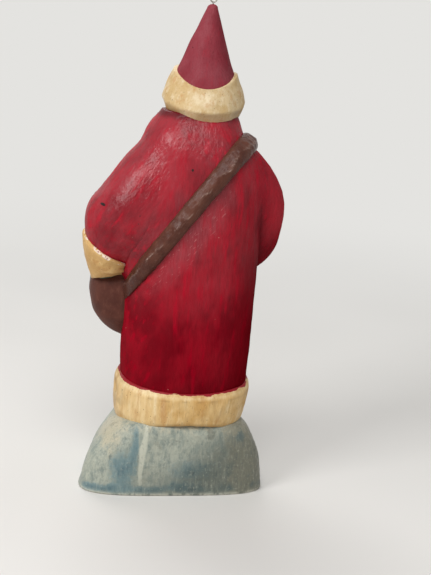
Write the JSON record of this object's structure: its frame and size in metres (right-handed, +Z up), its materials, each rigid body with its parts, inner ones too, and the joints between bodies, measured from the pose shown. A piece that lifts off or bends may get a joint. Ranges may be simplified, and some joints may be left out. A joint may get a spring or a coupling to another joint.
{
  "type": "carved wooden figurine",
  "caption": "Carved and painted wooden figurine of a bearded old man in a long fur-edged coat and pointed hat, with a bag on a shoulder strap, standing on a mound of snow.",
  "frame": {"origin": "on the flat underside of the mound, straight below the figure's upright axis", "axes": "+Z up through the hat, -Y the way the face looks, +X towards the figure's left hand"},
  "size_m": [0.1242, 0.0976, 0.3019],
  "materials": {
    "red_paint": "worn satin oil paint on wood",
    "cream_paint": "stained cream paint on wood",
    "brown_paint": "satin brown paint on wood",
    "snow_paint": "blue wash rubbed over cream paint",
    "flesh_paint": "matt flesh paint on wood",
    "white_paint": "matt white paint on wood",
    "green_paint": "matt green paint on wood",
    "black_paint": "satin black paint on wood",
    "bare_wood": "bare turned wood",
    "steel": "dull bright steel"
  },
  "bodies": {
    "root": {"coat": "red_paint", "left_sleeve": "red_paint", "right_sleeve": "red_paint", "hat_cone": "red_paint", "hem_fur": "cream_paint", "front_fur": "cream_paint", "left_cuff": "cream_paint", "right_cuff": "cream_paint", "hat_brim": "cream_paint", "shoulder_strap": "brown_paint", "shoulder_bag": "brown_paint", "snow_base": "snow_paint", "head": "flesh_paint", "beard": "white_paint", "moustache": "white_paint", "left_mitten": "green_paint", "right_mitten": "green_paint", "left_boot": "black_paint", "right_boot": "black_paint", "left_arm_dowel": "bare_wood", "right_arm_dowel": "bare_wood", "left_wrist_dowel": "bare_wood", "right_wrist_dowel": "bare_wood", "bag_dowel": "bare_wood", "neck_dowel": "bare_wood", "hat_dowel": "bare_wood", "base_screw_left": "steel", "base_screw_right": "steel", "hat_screw_eye": "steel"}
  },
  "joints": []
}
